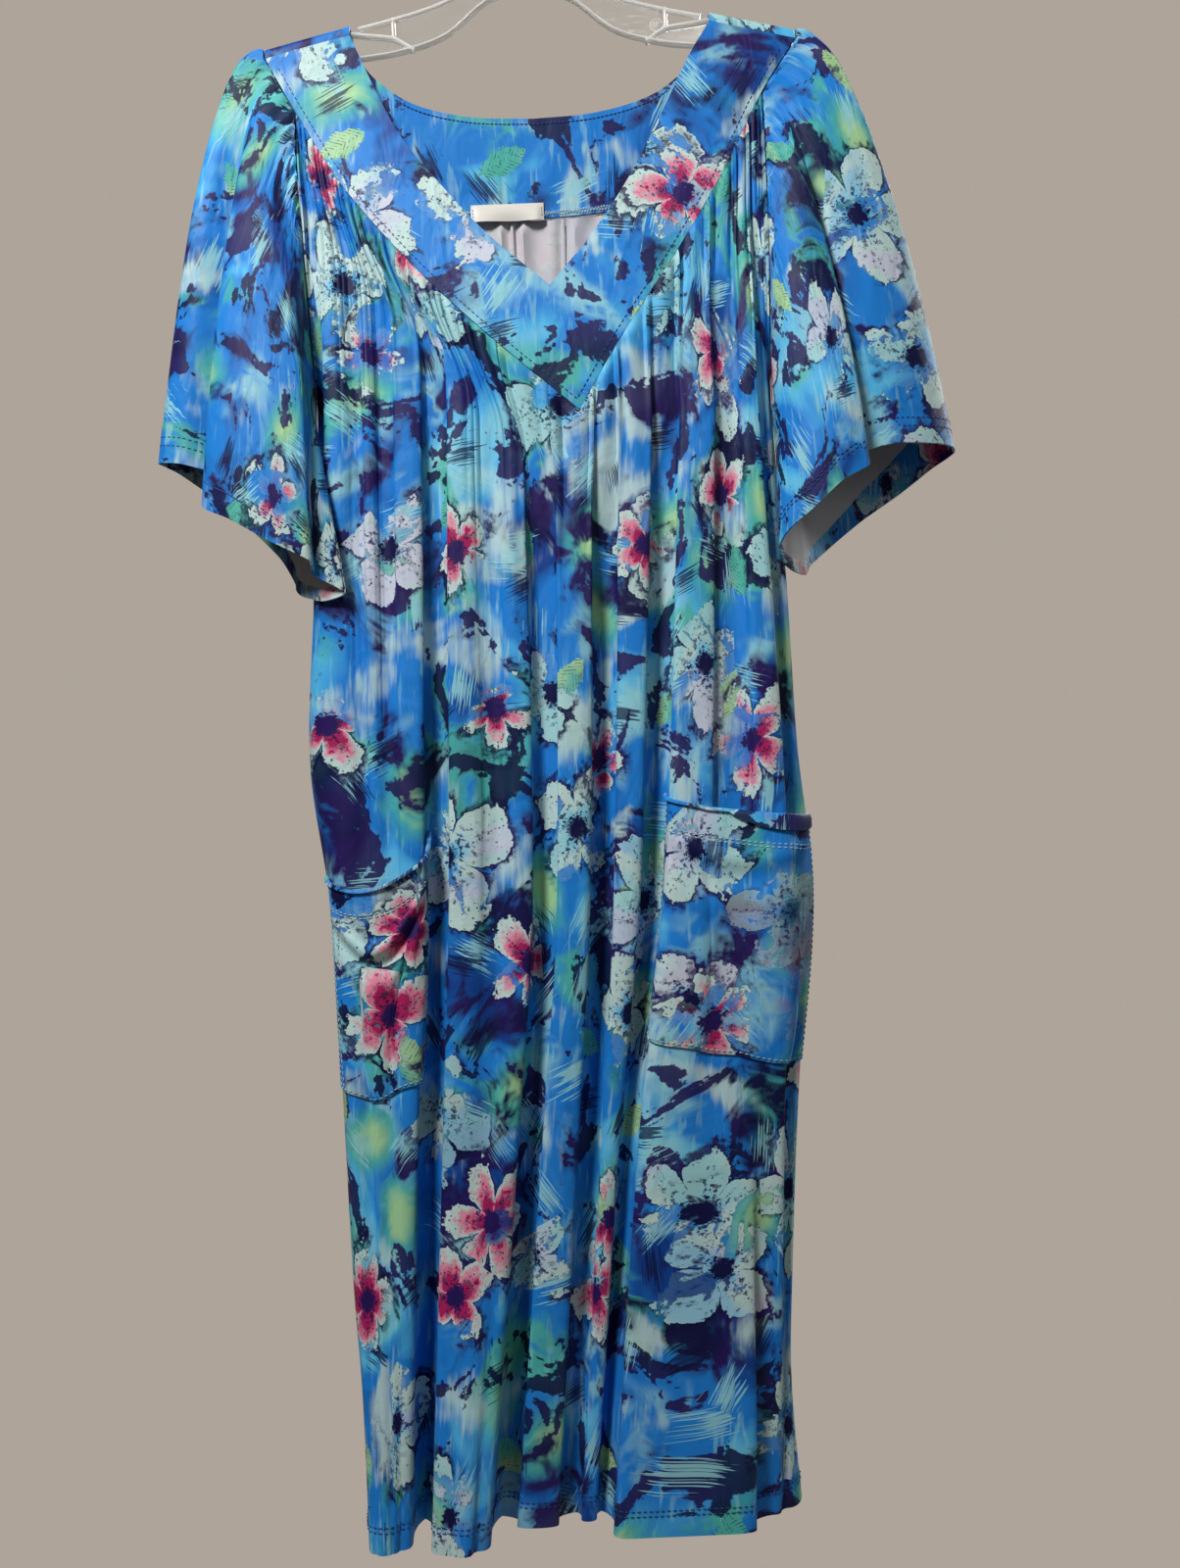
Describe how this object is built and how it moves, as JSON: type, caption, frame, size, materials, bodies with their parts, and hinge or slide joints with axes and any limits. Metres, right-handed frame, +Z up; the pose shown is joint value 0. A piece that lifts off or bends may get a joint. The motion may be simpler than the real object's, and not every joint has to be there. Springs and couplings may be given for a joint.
{
  "type": "house dress on a hanger",
  "caption": "Loose short-sleeved house dress with a V yoke, gathered front and patch pockets, hanging on a clear moulded hanger.",
  "frame": {"origin": "inside of the top of the hanger's hook, where it sits on a rail or peg", "axes": "+Z up, +X to the right of a viewer who faces the front of the dress, and the front faces -Y"},
  "size_m": [0.5922, 0.1129, 1.2283],
  "materials": {
    "print": "smooth printed knit",
    "yoke_print": "smooth printed knit",
    "pocket_print": "smooth printed knit",
    "label_cloth": "woven satin ribbon",
    "clear_plastic": "clear moulded"
  },
  "bodies": {
    "root": {"front": "print", "back": "print", "front_yoke": "yoke_print", "back_yoke": "yoke_print", "back_yoke_facing": "yoke_print", "label": "label_cloth", "sleeve_left": "print", "sleeve_right": "print", "pocket_left": "pocket_print", "pocket_right": "pocket_print", "hanger": "clear_plastic"}
  },
  "joints": []
}
